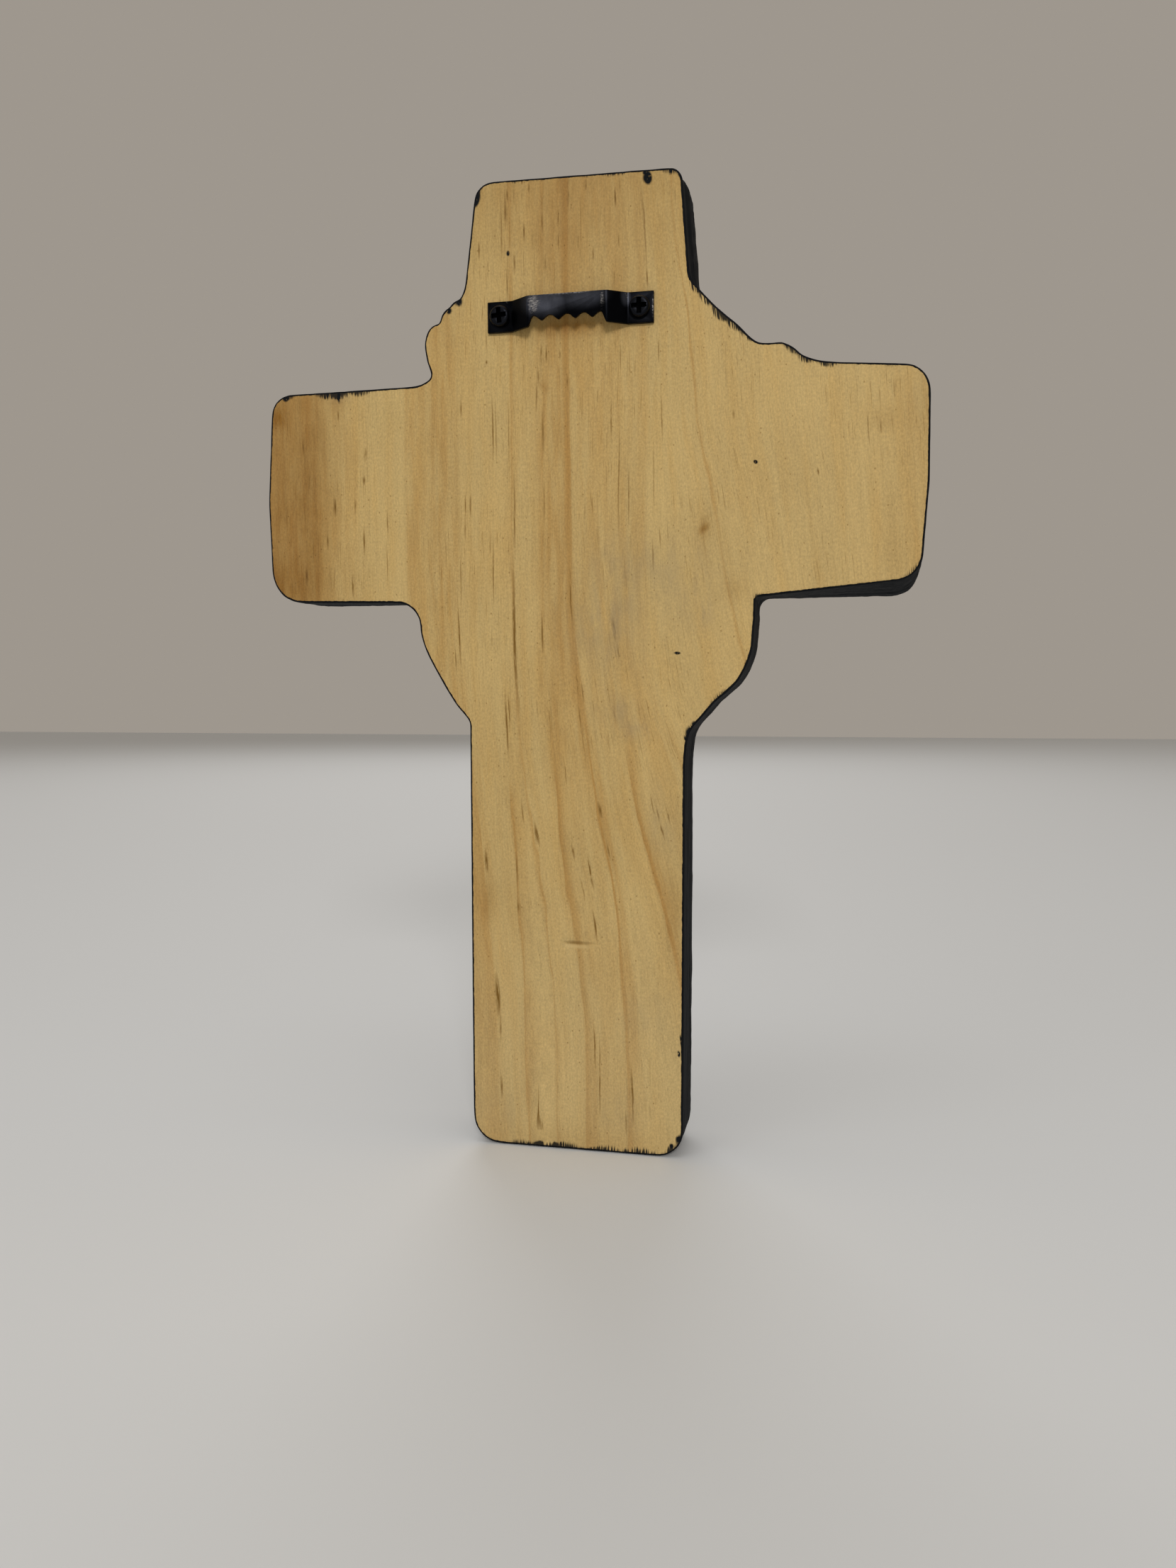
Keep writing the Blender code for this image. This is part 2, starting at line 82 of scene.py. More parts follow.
# The strip and its screws
STRIP_THICKNESS = 0.0009
STRIP_EDGE = 0.00014
SCREW_SIDES = 48
CROWN = 0.0010  # how much of a head's height is rounded
SHANK_RADIUS = 0.0013
SHANK_LENGTH = 0.0090
POINT_LENGTH = 0.0030
RECESS_SPAN = 0.0045
RECESS_SLOT = 0.0014
RECESS_DEPTH = 0.0011
RECESS_TAPER = 0.82
RECESS_EDGE = 0.00007
SCREW_TURNS = {"left": 5.5, "right": 1.0}  # degrees

# How the grain runs: each line is (up, across) along one growth line, and all keep to their own colour.
# A line's label is how far across it lies at the crossing's middle.
GRAIN_LINES = {
    -95: [(40, -95), (-230, -95)],
    -46: [(40, -46), (-75, -46), (-230, -44)],
    -31: [(40, -31), (-70, -31), (-100, -29.5), (-145, -25), (-160, -23.7), (-180, -21.5), (-230, -20)],
    -18.5: [(40, -18.5), (-95, -18.5), (-120, -17.6), (-140, -16.6), (-160, -15.4), (-180, -14),
            (-230, -12.6)],
    -16.6: [(40, -16.6), (-90, -16.4), (-110, -15.2), (-127, -12.5), (-142, -9.6), (-160, -7.2),
            (-180, -5.4), (-200, -4.2), (-230, -4.1)],
    -8: [(40, -8), (-90, -8), (-110, -6), (-128, -4.6), (-145, -3.2), (-160, -0.6), (-178, 1.5),
         (-192, 3.8), (-230, 3.6)],
    0: [(40, -0.5), (-75, 0), (-100, 3), (-120, 5.7), (-138, 8), (-150, 10.6), (-165, 13), (-185, 14.3),
        (-205, 15.6), (-230, 15.8)],
    9: [(40, 9), (-60, 9), (-90, 12), (-112, 15), (-128, 17.5), (-141, 21), (-153, 24.5), (-167, 28.5),
        (-190, 33), (-230, 38)],
    20.5: [(40, 18.8), (20, 20.5), (5, 21.5), (-60, 20.5), (-80, 20.8), (-92, 22), (-103, 24.3),
           (-114, 28.4), (-130, 34), (-230, 48)],
    40: [(40, 26.2), (22, 27), (5, 30), (-10, 32), (-30, 33.5), (-37, 35.5), (-50, 38.5), (-60, 40),
         (-80, 44), (-110, 52), (-230, 62)],
    95: [(40, 90), (-45, 95), (-230, 105)],
}

# Growth bands as (label across, depth of tone), over the crossing and over the foot
UPPER_BANDS = [
    (-95, 0.75), (-88, 0.70), (-80, 0.60), (-77, 0.66), (-70, 0.45), (-62, 0.30), (-57, 0.10),
    (-47, 0.06), (-46, 0.55), (-42, 0.42), (-37, 0.60), (-32.5, 0.48), (-31, 0.20), (-27, 0.14),
    (-19, 0.08), (-16.9, 0.25), (-16.5, 0.95), (-15.9, 0.25), (-12, 0.14), (-9.6, 0.30), (-8.2, 0.58),
    (-2, 0.62), (-0.4, 0.95), (0.5, 0.38), (9, 0.38), (20.2, 0.30), (20.9, 0.06), (39.4, 0.12),
    (40, 0.75), (40.9, 0.12), (84, 0.10), (89, 0.30),
]
LOWER_BANDS = [
    (-95, 0.5), (-42, 0.50), (-35, 0.62), (-31.5, 0.70), (-30.8, 0.34), (-27, 0.18), (-19, 0.22),
    (-18.6, 1.0), (-18.1, 0.42), (-17.2, 0.08), (-16.7, 0.20), (-16.5, 1.0), (-16.2, 0.25), (-12, 0.08),
    (-8.2, 0.20), (-8.0, 0.85), (-5, 0.42), (-2.5, 0.18), (-0.3, 0.26), (0.0, 1.0), (0.5, 0.55),
    (1.6, 0.45), (2.0, 0.12), (8.2, 0.14), (8.8, 1.0), (9.6, 0.62), (12, 0.24), (18, 0.12),
    (20.4, 0.10), (20.6, 0.75), (22, 0.06),
]

# Dark streaks and pitch lines: (across, up, width, length, strength)
STREAKS = [
    (-76.5, -66, 0.7, 6, 0.7), (-70, -56, 0.6, 6, 0.6), (-67.8, -47, 0.7, 6, 0.75),
    (-61.8, -47, 0.6, 5, 0.6), (-59, -40, 0.8, 3, 0.7), (-58.5, -33, 0.9, 4, 0.7),
    (-66.5, -22, 0.5, 4, 0.6), (-77, -30, 0.6, 5, 0.5), (-59.5, -57, 0.6, 8, 0.8),
    (-63, -69, 0.7, 7, 0.8), (-51.8, -52, 0.4, 8, 0.6), (-52.2, -63, 0.35, 14, 0.5),
    (-29.8, -48, 0.4, 7, 0.7), (-28.5, -48, 0.45, 7, 0.7), (-30, -54, 0.4, 8, 0.6),
    (-30.5, -22, 0.5, 5, 0.6), (-21.8, -28, 0.4, 18, 0.8), (-20.8, -28, 0.35, 18, 0.7),
    (-17.3, -30, 0.35, 26, 0.5), (-15.8, -51, 0.4, 24, 0.7), (-9.2, -20, 0.5, 9, 0.6),
    (-7.6, -29, 0.5, 12, 0.6), (-7.5, -48, 0.4, 12, 0.5), (-22, -66, 0.45, 20, 0.7),
    (-16.2, -84, 0.8, 44, 0.9), (-8.2, -83, 0.45, 13, 0.8), (-31.3, -68, 0.4, 14, 0.6),
    (-31.8, -83, 0.4, 18, 0.9), (-32.8, -90, 0.35, 8, 0.7), (-18.5, -108, 0.45, 20, 0.9),
    (-17.8, -104, 0.35, 13, 0.8), (-6.2, -107, 0.45, 8, 0.6), (-0.4, -73, 0.5, 16, 0.8),
    (1.6, -97, 0.4, 7, 0.7), (3.1, -99, 0.35, 7, 0.6), (2.4, -106, 0.4, 7, 0.6),
    (11.8, -82, 0.6, 7, 0.9), (12.9, -88, 0.4, 5, 0.6), (10.8, -27, 0.4, 11, 0.7),
    (13.1, -42, 0.4, 34, 0.6), (15.9, -47, 0.35, 17, 0.7), (24.5, -27, 0.4, 12, 0.6),
    (22.3, -63, 0.4, 9, 0.6), (24, -58, 0.35, 7, 0.5), (22.3, -42, 0.35, 22, 0.4),
    (43, -27, 0.6, 3, 0.6), (44, -38, 0.35, 7, 0.4), (65, -42.5, 0.5, 2, 0.8),
    (49.1, -39.4, 0.6, 0.9, 0.95), (28.8, -88.5, 0.9, 0.6, 0.95), (80.5, -32, 0.6, 4, 0.5),
    (-17, 18, 0.6, 1.0, 0.9), (-18.7, 24, 0.5, 16, 0.6), (-17, 33, 0.5, 4, 0.7),
    (-17.4, 10, 0.45, 9, 0.6), (-3, 20, 0.45, 6, 0.6), (-0.3, 31, 0.4, 5, 0.7), (12, 30, 0.5, 6, 0.8),
    (13, 19, 0.4, 4, 0.5), (20.3, 21, 0.4, 24, 0.5), (-12.9, 36.2, 0.5, 2, 0.8),
    (-10.9, 34.4, 0.5, 3, 0.7), (4.1, 33.8, 0.5, 3, 0.6), (-7.3, 25.4, 0.5, 5, 0.7),
    (-3.1, 26.2, 0.4, 6, 0.6), (-12.2, 23.3, 0.5, 6, 0.7), (-17.6, 28.6, 0.6, 9, 0.6),
    (-24.9, 19.5, 0.5, 5, 0.7), (-15.4, 15.4, 0.5, 6, 0.6), (6, 16.1, 0.4, 4, 0.6),
    (-6.6, 14.6, 0.4, 5, 0.5), (2.2, 19.2, 0.4, 5, 0.5), (-8, -8.9, 0.5, 6, 0.7),
    (-6.6, -9, 0.4, 5, 0.7), (-2.8, -9.3, 0.4, 3, 0.6), (13.4, -11, 0.4, 9, 0.5),
    (23.6, -9.6, 0.4, 7, 0.6), (-8.7, -14.5, 0.5, 5, 0.5), (-23, -10, 0.6, 1.2, 0.8),
    (-0.7, -16, 0.4, 4, 0.6), (21, 9, 0.45, 6, 0.7), (11.5, 10, 0.4, 8, 0.4), (3, 24, 0.35, 16, 0.4),
    (-24.5, -146, 0.8, 8, 0.8), (-16.2, -148, 0.45, 10, 0.6), (-15.6, -158, 0.5, 5, 0.7),
    (-14.3, -132, 0.45, 7, 0.6), (-9.6, -138, 0.6, 8, 0.8), (0.3, -142.5, 0.45, 6, 0.6),
    (5.2, -148, 0.55, 10, 0.9), (7.7, -131, 0.6, 5, 0.7), (9.7, -142, 0.5, 6, 0.6),
    (6.3, -163, 0.4, 10, 0.8), (2.8, -153, 0.4, 7, 0.5), (-1.6, -121, 0.5, 7, 0.6),
    (-21.2, -184, 1.0, 14, 0.9), (-20.6, -193, 0.5, 9, 0.6), (-20.2, -210, 0.6, 7, 0.8),
    (6.6, -197, 0.4, 16, 0.7), (8.2, -206, 0.4, 24, 0.8), (-9.2, -216, 0.45, 14, 0.8),
    (16.6, -210, 0.55, 18, 0.8), (15.2, -218, 0.4, 8, 0.6), (30.5, -194, 0.6, 3, 0.95),
    (22.4, -129, 0.5, 6, 0.7), (24, -132, 0.4, 5, 0.7), (25, -136, 0.4, 6, 0.7),
    (26.4, -132, 0.5, 5, 0.7),
]

# Black specks and chips in the bare back: (across, up, width, length, strength)
BLACK_MARKS = [
    (20.7, 34.1, 1.8, 3.6, 2.2), (20.2, 35.4, 1.2, 1.6, 1.8), (-26.0, 33.0, 2.4, 4.8, 2.6),
    (-31.0, 6.4, 1.6, 2.6, 1.5), (-33.6, 4.2, 1.4, 2.0, 1.4), (26.4, 35.4, 0.6, 2.4, 1.3),
    (29.0, 34.6, 0.6, 2.4, 1.3), (49.1, -39.4, 0.9, 1.2, 1.5), (28.8, -88.5, 1.5, 0.9, 1.5),
    (30.3, -194, 0.6, 4.4, 1.6), (29.8, -197.4, 0.6, 2.0, 1.5), (32.4, -109.8, 2.0, 3.4, 1.7),
    (33.6, -107.8, 1.6, 2.6, 1.6), (31.2, -111.4, 1.0, 2.0, 1.5), (-17, 18, 0.8, 1.6, 1.4),
    (30.2, -221.4, 1.2, 2.2, 1.5), (28.6, -223.4, 1.0, 1.6, 1.4), (-81.8, -16.4, 1.6, 2.2, 1.6),
    (31.0, -147, 0.5, 2.4, 1.2), (31.2, -152, 0.4, 1.8, 1.1), (-66.2, -16.6, 0.7, 4.4, 1.4),
    (-69.6, -16.0, 0.6, 3.4, 1.3),
]

# Where the black paint crept into the wood: (across, up, reach, length)
BLEEDS = [
    (-81.5, -15.5, 2.0, 2.6), (-69.5, -15, 2.6, 5.6), (-66, -15, 2.8, 6.4), (-60, -15, 2.8, 3.6),
    (-25.4, 33.2, 2.0, 2.6), (-15, 37, 1.7, 1.6), (-8.4, 37, 1.7, 1.6), (4, 37, 1.7, 1.8),
    (10, 36.6, 1.7, 2.0), (13, 36.5, 1.7, 2.4), (20.5, 36.6, 1.7, 0.8), (26.5, 36, 2.6, 2.2),
    (-30, 5, 2.4, 2.0), (-33, 1, 2.0, 1.6), (33.5, 6, 2.0, 3.2), (36.5, 3, 2.4, 3.6),
    (40, -1, 2.6, 4.4), (43.5, -4, 2.4, 3.4), (46.8, -7, 2.0, 2.4), (58.5, -11, 2.4, 2.6),
    (61.5, -14, 2.2, 2.6), (67, -15.2, 2.6, 2.4), (83, -16.5, 1.7, 1.4), (89, -68, 3.0, 1.5),
    (75, -72, 14, 0.6), (50, -73.5, 1.7, 1.2), (48, -91, 3.0, 0.8), (40, -100, 4.0, 1.4),
    (33, -108, 1.8, 1.6), (32.6, -110, 2.0, 2.4), (-33, -103, 3.0, 0.7), (-12.5, -226, 1.7, 2.2),
    (-9, -226, 1.7, 3.4), (-5.8, -226, 1.7, 3.0), (-3.8, -226, 1.7, 4.0), (1, -226, 1.7, 1.2),
    (6.2, -226.5, 1.7, 2.6), (8.1, -226.5, 1.7, 3.4), (13, -226.5, 1.7, 1.8), (16.4, -226, 1.7, 3.2),
    (22, -226, 1.7, 1.0), (27.5, -224.5, 2.2, 2.6), (29.8, -221.5, 1.7, 2.2), (-24, -224, 3.0, 0.8),
    (-15, -226, 4.5, 1.8), (-2, -226, 4.5, 2.2), (10, -226, 4.5, 2.2), (19, -226, 4.5, 2.6),
]

# Stains with painted shade among them, and grey smudges: (across, up, half width, half height, strength)
STAINS_AND_PAINTED_SHADE = [
    (-82, -46, 11, 60, 0.58), (-92, -46, 6, 60, 0.08), (-73, -48, 5, 44, 0.32), (-84, -69, 8, 7, 0.30),
    (-86, -20, 5, 5, 0.20), (-84, -22.5, 2.2, 2.2, 0.4), (-66.5, -18, 3, 2.5, 0.25),
    # (0, 34, ...) is painted shade that darkens the top arm
    (-24, -157, 3.5, 6, 0.35), (0, 34, 70, 24, 0.36), (28.6, -158, 2.6, 9, 0.40),
    (36, -56, 0.9, 1.6, 0.9), (36, -56, 3, 7, 0.2), (81, -30, 3, 3, 0.25), (44, -72, 3, 3, 0.25),
    (84, -58, 2.5, 14, 0.2), (-7.5, -17, 1.2, 1.2, 0.4), (0, -225, 26, 5, 0.18),
    # this last one is a painted shadow below the hanger's teeth
    (0, -1.9, 11, 2.4, 0.85),
]
GREY_SMUDGES = [
    (10, -80, 9, 13, 0.62), (14, -63, 7, 6, 0.4), (30, -68, 9, 9, 0.4), (35, -78, 4, 4, 0.4),
    (13, -104, 6, 4, 0.4), (18, -109, 4, 2.5, 0.5), (25, -134, 4, 9, 0.35), (20, -187, 6, 6, 0.25),
    (12, -215, 7, 6, 0.3), (-22, -217, 7, 6, 0.25), (-66, -16.5, 4, 2, 0.4), (90, -22, 4, 8, 0.15),
]

# The dent low on the upright. A painted shadow along its upper edge and a painted highlight on its lower lip
# are marks like the streaks
DENT = (0.2, -168.3)
DENT_HALF = (3.2, 0.9)
DENT_DEPTH = 0.00055
DENT_SAG = 0.35  # how far the dent's ends turn up
DENT_MARK = (*DENT, 2 * DENT_HALF[0], 2 * DENT_HALF[1], 1.0)
DENT_PAINTED_SHADOW = (DENT[0], DENT[1] + 0.4, 6.0, 1.3, 0.62)
DENT_PAINTED_HIGHLIGHT = (DENT[0], DENT[1] - 0.7, 5.6, 1.4, 0.8)

MARK_WIDTH = 0.7  # a mark reaches this share of its width to each side
MARK_LENGTH = 0.55  # and this share of its length up and down
GRAIN_SMOOTHING = 6.0  # a growth line is averaged over this far up and down
CROSSING_STARTS = (-140, -95)  # where the foot's bands pass into the crossing's
FOOT_STARTS = (-130, -215)  # between these heights the wood is painted lighter: painted light towards the foot

# The wood's patterns: lumps in millimetres (across the grain, into the board, along the grain)
SWAY = (8, 8, 70)
TREMBLE = (1.2, 1.2, 14)
BAND_PATCHES = (2.2, 1.0, 24.0)
RESIN_PATCHES = (5.0, 1.0, 42.0)
FIBRES = (0.22, 1.0, 4.0)
STRANDS = (0.8, 1.0, 30.0)
GRIT = (0.5, 0.5, 0.7)
CLOUDS = (14, 14, 30)
DASH_FIELDS = (18, 18, 34)
DASHES = (0.34, 1.0, 9.0)
STREAK_BREAKS = (0.3, 1.0, 3.5)
PORE_SPACING = (0.62, 0.62, 0.45)  # pores in each millimetre
STAIN_MOTTLE = (3.0, 3.0, 10.0)
TORN_RIMS = (0.5, 0.5, 1.0)
RAGGED_LINE = (0.9, 0.9, 1.6)
END_GRAIN_COMB = (0.26, 1.0, 14.0)
BRUSH_MARKS = (1.4, 3.0, 12.0)
PAINT_LUMPS = (0.8, 0.8, 1.4)

# Colours, as linear values
LIGHT_PINE = (0.545, 0.396, 0.160)
DEEP_PINE = (0.395, 0.222, 0.055)
AMBER_TINT = (0.97, 0.90, 0.78)  # what the resin-rich patches let through
FOOT_PAINTED_LIGHT_PINE = (0.60, 0.47, 0.235)  # painted light towards the foot
# a painted highlight, on the dent's lower lip
DENT_HIGHLIGHT_PINE = (0.62, 0.46, 0.20)
# streaks and specks, and the painted shadow along the dent's upper edge
STREAK_AND_SHADOW_BROWN = (0.185, 0.094, 0.008)
STAIN_AND_SHADE_BROWN = (0.47, 0.31, 0.05)  # what the stains and the painted shade let through
SMUDGE_GREY = (0.300, 0.235, 0.135)
WICKED_PAINT = (0.008, 0.010, 0.012)
BLACK_PAINT = (0.0036, 0.0042, 0.0050)
GREYED_PAINT = (0.0110, 0.0125, 0.0150)
BLACK_STEEL = (0.0030, 0.0034, 0.0045)
# a painted reflection on the strip; spread evenly over the screw heads it only lightens their tone
SHEEN_AND_TONE_BLUE = (0.075, 0.082, 0.105)
# bare steel where the strip is worn, and the colour of its painted highlights and glints
BARE_STEEL_AND_GLINT = (0.50, 0.49, 0.48)
# painted shade in the screws' recesses
RECESS_PAINTED_SHADE = (0.0008, 0.0008, 0.0010)
PAINTED_LINE = 0.58  # how far the paint reaches onto the back, in millimetres
BARE_GLOSS = 0.3  # how strongly the wood and the paint reflect
PAINT_GLOSS = 0.03

# Where the strip is bright: a worn, scratched patch at the bridge's left end, and painted highlights and
# glints at the right bend, along the top edge, at the tabs' inner corners and at the right end: (across, up,
# half width, half height, strength)
RUBS_AND_PAINTED_GLINTS = [
    (-8.9, 3.2, 2.6, 4.0, 0.75),
    (9.5, 3.0, 0.9, 3.6, 0.50),
    (0.0, STRIP_HIGH.z / MM, 10.5, 0.7, 0.7),
    (-17.0, 5.0, 0.9, 0.5, 0.5),
    (15.4, 4.6, 0.8, 1.6, 0.5),
    (22.3, 1.5, 0.3, 4.0, 0.5),
]
# Painted reflections: a blue-grey sheen over the bridge, a small one at the right slope's foot, and a faint
# one on each tab: (across, up, half width, half height, strength)
PAINTED_SHEEN_PATCHES = [
    (-6.0, 4.0, 8.0, 5.6, 0.85),
    (4.0, 4.6, 9.0, 4.6, 0.45),
    (15.2, 4.0, 1.6, 3.0, 0.5),
    (-19.5, 1.6, 5.0, 6.0, 0.08),
    (19.5, 1.6, 5.0, 6.0, 0.08),
]
# Painted highlights on the screw heads' upper left, and an even lift of the heads' tone: (across, up, half
# width, half height, strength)
SCREW_PAINTED_HIGHLIGHTS = [(-20.4, 4.0, 1.2, 1.0, 0.3), (17.6, 4.0, 1.2, 1.0, 0.4)]
SCREW_SHEEN = [(0.0, 0.0, 90.0, 90.0, 0.11)]

# The studio and the camera
FLOOR_SIZE = 6.0
FLOOR_GAP = 0.0002
FLOOR_COLOUR = (0.72, 0.745, 0.765)
SKY_COLOUR = (0.66, 0.595, 0.52)
SKY_STRENGTH = 0.52
BOARD_MIDDLE = (BOARD_LOW + BOARD_HIGH) / 2
CAMERA_PLACE = Vector((-0.0722, 0.30875, -0.09845))
VIEW_DIRECTION = Vector((0.2107, -0.9744, -0.0790)).normalized()
CAMERA_ROLL = 0.1  # degrees
SENSOR = 36
LENS = 27.03
NEAREST_SEEN = 0.01

# Soft square lights: (name, place, size, power, colour)
LIGHTS = [
    ("key", (-0.45, 1.7, 0.75), 0.4, 14.2, (1.0, 0.96, 0.92)),
    ("fill", (0.9, 0.9, 0.3), 0.6, 1.0, (0.95, 0.97, 1.0)),
    ("ceiling", (0.0, 0.4, 1.8), 1.2, 5.0, (0.97, 0.99, 1.0)),
    ("front_fill", (0.5, -1.7, 1.2), 1.2, 10.0, (1.0, 0.98, 0.96)),
]


def clear_bench():
    bpy.ops.object.select_all(action="DESELECT")


def bench(piece):
    """Selects one piece alone and makes it the active one."""
    clear_bench()
    piece.select_set(True)
    bpy.context.view_layer.objects.active = piece


def start_from_node(node, name):
    """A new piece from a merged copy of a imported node's mesh, left in edit mode with all of it selected."""
    piece = bpy.data.objects.new(name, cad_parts[node].data.copy())
    bpy.context.scene.collection.objects.link(piece)
    piece.data.materials.clear()
    bench(piece)
    bpy.ops.object.mode_set(mode="EDIT")
    bpy.ops.mesh.select_all(action="SELECT")
    bpy.ops.mesh.customdata_custom_splitnormals_clear()
    bpy.ops.mesh.remove_doubles(threshold=HAIR)
    return piece


def pick_faces(piece, wanted):
    """Selects, in edit mode, only the faces for which `wanted` holds."""
    bpy.ops.mesh.select_mode(type="FACE")
    bpy.ops.mesh.select_all(action="DESELECT")
    bm = bmesh.from_edit_mesh(piece.data)
    for face in bm.faces:
        if wanted(face):
            face.select_set(True)
    bmesh.update_edit_mesh(piece.data)


def apply_modifier(piece, kind, **settings):
    bench(piece)
    modifier = piece.modifiers.new(kind, kind)
    for name, value in settings.items():
        setattr(modifier, name, value)
    bpy.ops.object.modifier_apply(modifier=modifier.name)


def smooth_piece(piece, degrees):
    bench(piece)
    bpy.ops.object.shade_smooth_by_angle(angle=math.radians(degrees))


def slice_all(places, axis):
    """Cuts the whole piece, in edit mode, by planes across one axis."""
    for place in places:
        normal = [0, 0, 0]
        normal[axis] = 1
        bpy.ops.mesh.select_all(action="SELECT")
        bpy.ops.mesh.bisect(plane_co=[place * n for n in normal], plane_no=normal, threshold=HAIR)


def stations(low, high, pitch):
    """Evenly spaced cuts between two ends, the ends left out."""
    count = round((high - low) / pitch)
    return [low + (high - low) * step / count for step in range(1, count)]


def faces_back(face):
    return face.normal.y > 0.99 and face.calc_center_median().y > BACK_Y - FLAT_REACH


def in_pilot_hole(face):
    """Whether a face is in a shank's hole. These holes are closed, because the shanks fill them."""
    centre = face.calc_center_median()
    for low, high in SCREW_BOXES.values():
        middle = (low + high) / 2
        aside = math.hypot(centre.x - middle.x, centre.z - middle.z)
        if aside < PILOT_REACH and centre.y > low.y - 0.0010:
            return True
    return False


def mesh_board():
    """The board as one closed mesh, with its sawn edge softened and its faces fine enough for relief."""
    board = start_from_node("cross_board", "painted_board")
    pick_faces(board, lambda face: faces_back(face) or in_pilot_hole(face))
    bpy.ops.mesh.delete(type="FACE")
    bpy.ops.mesh.select_mode(type="EDGE")
    bpy.ops.mesh.select_non_manifold()
    bpy.ops.mesh.edge_face_add()
    pick_faces(board, lambda face: abs(face.normal.y) < 0.999)
    bpy.ops.mesh.tris_convert_to_quads(face_threshold=math.radians(8), shape_threshold=math.radians(120))
    pick_faces(board, lambda face: face.normal.y < -0.9999)
    bpy.ops.mesh.dissolve_limited(angle_limit=math.radians(0.2))
    pick_faces(board, faces_back)
    bpy.ops.mesh.bevel(offset=EDGE_SOFTNESS, segments=2, affect="EDGES")
    for thickness in BORDER_RINGS:
        pick_faces(board, lambda face: faces_back(face) and len(face.verts) > MANY_CORNERS)
        bpy.ops.mesh.inset(thickness=thickness, use_even_offset=True)
    slice_all([BACK_Y - depth for depth in WALL_ROWS], 1)
    slice_all(stations(BOARD_LOW.x, BOARD_HIGH.x, GRID_PITCH), 0)
    slice_all(stations(BOARD_LOW.z, BOARD_HIGH.z, GRID_PITCH), 2)
    bpy.ops.mesh.select_all(action="SELECT")
    bpy.ops.mesh.remove_doubles(threshold=SLIVER)
    bpy.ops.mesh.normals_make_consistent(inside=False)
    bpy.ops.object.mode_set(mode="OBJECT")
    apply_modifier(board, "SUBSURF", levels=BOARD_LEVELS, render_levels=BOARD_LEVELS)
    return board


def points_of(piece):
    points = np.empty(len(piece.data.vertices) * 3, np.float32)
    piece.data.vertices.foreach_get("co", points)
    return points.reshape(-1, 3)


def section(piece, y):
    """The stretches of outline, as (start, end) in x and z, where a plane across Y cuts the piece."""
    bm = bmesh.new()
    bm.from_mesh(piece.data)
    everything = bm.verts[:] + bm.edges[:] + bm.faces[:]
    cut = bmesh.ops.bisect_plane(bm, geom=everything, plane_co=(0, y, 0), plane_no=(0, 1, 0))["geom_cut"]
    edges = [part for part in cut if isinstance(part, bmesh.types.BMEdge)]
    ends = np.array([[(vert.co.x, vert.co.z) for vert in edge.verts] for edge in edges])
    bm.free()
    return ends[:, 0], ends[:, 1]


def distance_to_outline(places, starts, ends):
    """The distance from each (x, z) place to the nearest stretch of outline."""
    along = ends - starts
    length_squared = np.maximum((along**2).sum(1), 1e-16)
    nearest = np.empty(len(places))
    for first in range(0, len(places), 1000):
        some = places[first : first + 1000, None, :]
        share = np.clip(((some - starts) * along).sum(2) / length_squared, 0, 1)
        gap = some - (starts + share[..., None] * along)
        nearest[first : first + 1000] = np.sqrt((gap**2).sum(2).min(1))
    return nearest


def grain_label(across, up):
    """Follows the grain from each place up to the crossing, and returns how far across it lies there."""
    labels = sorted(GRAIN_LINES)
    lines = np.array([grain_line(GRAIN_LINES[label], up) for label in labels])
    found = np.empty(len(across))
    for i in range(len(across)):
        found[i] = np.interp(across[i], lines[:, i], labels)
    return found


def grain_line(knots, up):
    """How far across a growth line lies at each height, smoothed between its knots."""
    heights = np.array([knot[0] for knot in knots][::-1], float)
    places = np.array([knot[1] for knot in knots][::-1], float)
    steps = (-1, -0.5, 0, 0.5, 1)
    return sum(np.interp(up + step * GRAIN_SMOOTHING, heights, places) for step in steps) / len(steps)


def spots(across, up, places, blend=np.add):
    """Soft round spots, summed or blended: each is (across, up, half width, half height, strength)."""
    total = np.zeros(len(across))
    for spot_across, spot_up, half_width, half_height, strength in places:
        reach = ((across - spot_across) / half_width) ** 2 + ((up - spot_up) / half_height) ** 2
        total = blend(total, strength * np.exp(-reach))
    return total


def store(piece, name, values):
    attribute = piece.data.attributes.new(name, "FLOAT", "POINT")
    attribute.data.foreach_set("value", np.asarray(values, np.float32))


def smooth_step(value, low, high):
    share = np.clip((value - low) / (high - low), 0, 1)
    return share * share * (3 - 2 * share)


def ridge(depth, shape):
    """A soft ridge, or a groove where its height is below 0, that runs along a wall."""
    middle, half_width, height = shape
    return height * math.exp(-(((depth - middle) / half_width) ** 2))


def back_relief(x, z):
    """The dent and the faint waves of the bare back."""
    across = (-x / MM - DENT[0]) / DENT_HALF[0]
    up = (z / MM - DENT[1] - DENT_SAG * across * across) / DENT_HALF[1]
    dent = -DENT_DEPTH * math.exp(-(across**2) - up * up)
    return dent + BACK_WAVES * noise.noise(Vector((x * 90, 0, z * 25)))


def relief(point, edge):
    """How far a point of the board's surface stands out of the plain solid."""
    x, y, z = point
    if edge > 0:
        return back_relief(x, z)
    depth = BACK_Y - y
    rough = 0.3 + 0.7 * float(smooth_step(depth, *WALL_TOP))
    top_arm = float(smooth_step(z, *TOP_ARM_STARTS))
    hammered = noise.fractal(Vector((x, y, z)) * 330, 0.8, 2.0, 3) * HAMMERED_HEIGHT
    brushed = noise.fractal(Vector((x * 260, y * 500, z * 60)), 0.9, 2.0, 3) * BRUSHED_HEIGHT
    front_half = smooth_step(depth, 0.0050, 0.0080)
    right_side = smooth_step(-x, 0.022, 0.030)
    texture = rough * (top_arm * hammered + (1 - top_arm) * (0.45 * hammered + brushed))
    ledge = ridge(depth, LEDGE) * top_arm
    groove = ridge(depth, GROOVE) * (1 - top_arm)
    return texture + ledge + groove + SWELLING * top_arm * float(front_half * right_side)


